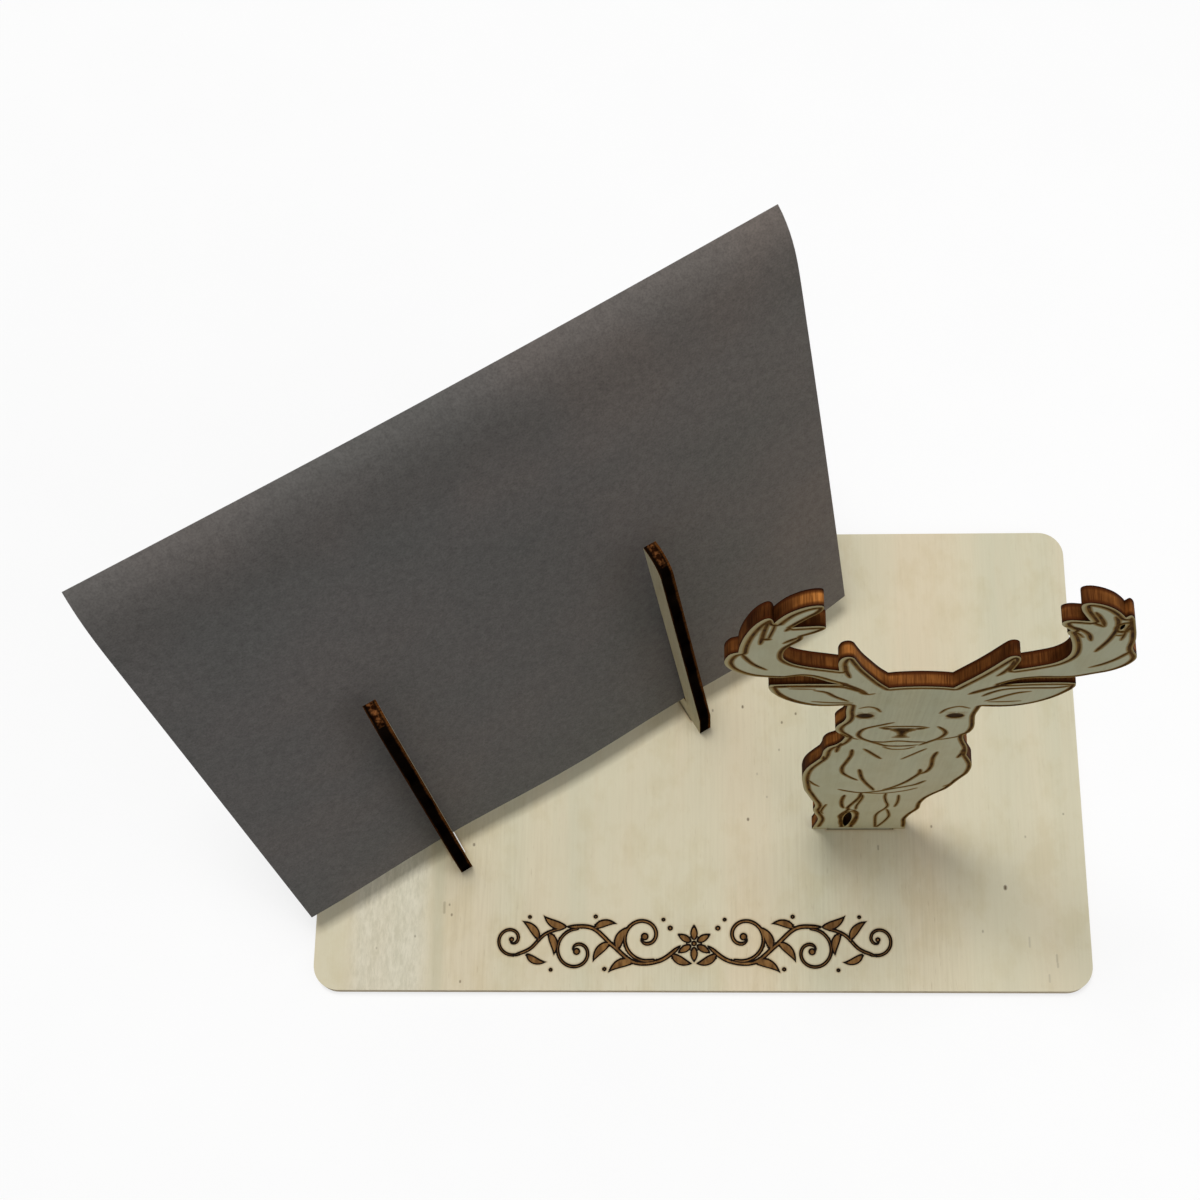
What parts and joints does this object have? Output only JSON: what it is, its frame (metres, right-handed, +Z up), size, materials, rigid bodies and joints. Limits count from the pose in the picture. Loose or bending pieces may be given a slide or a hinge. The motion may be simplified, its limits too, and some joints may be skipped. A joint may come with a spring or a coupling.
{
  "type": "gift card holder",
  "caption": "Plywood desk stand with a rounded base plate, slotted leaning forks that hold an upright card, and a plug-in stag figure.",
  "frame": {"origin": "centre of the base plate's underside", "axes": "+Z up, -Y towards the front edge that the figure faces, +X to the right seen from the front"},
  "size_m": [0.2025, 0.1273, 0.1622],
  "materials": {
    "plate_plywood": "pale poplar plywood with burnt edges",
    "figure_plywood": "pale poplar plywood with burnt edges and engraved lines",
    "grey_card": "matt dark grey card"
  },
  "bodies": {
    "base": {"base_plate": "plate_plywood", "left_fork": "plate_plywood", "right_fork": "plate_plywood"},
    "figure": {"stag_figure": "figure_plywood"},
    "card": {"card": "grey_card"}
  },
  "joints": [
    {"name": "card_lift", "type": "slide", "parent": "base", "child": "card", "axis": [-0.1403, 0.2335, 0.9622], "range_m": [0, 0.085]},
    {"name": "figure_lift", "type": "slide", "parent": "base", "child": "figure", "axis": [0, 0, 1], "range_m": [0, 0.02]}
  ]
}
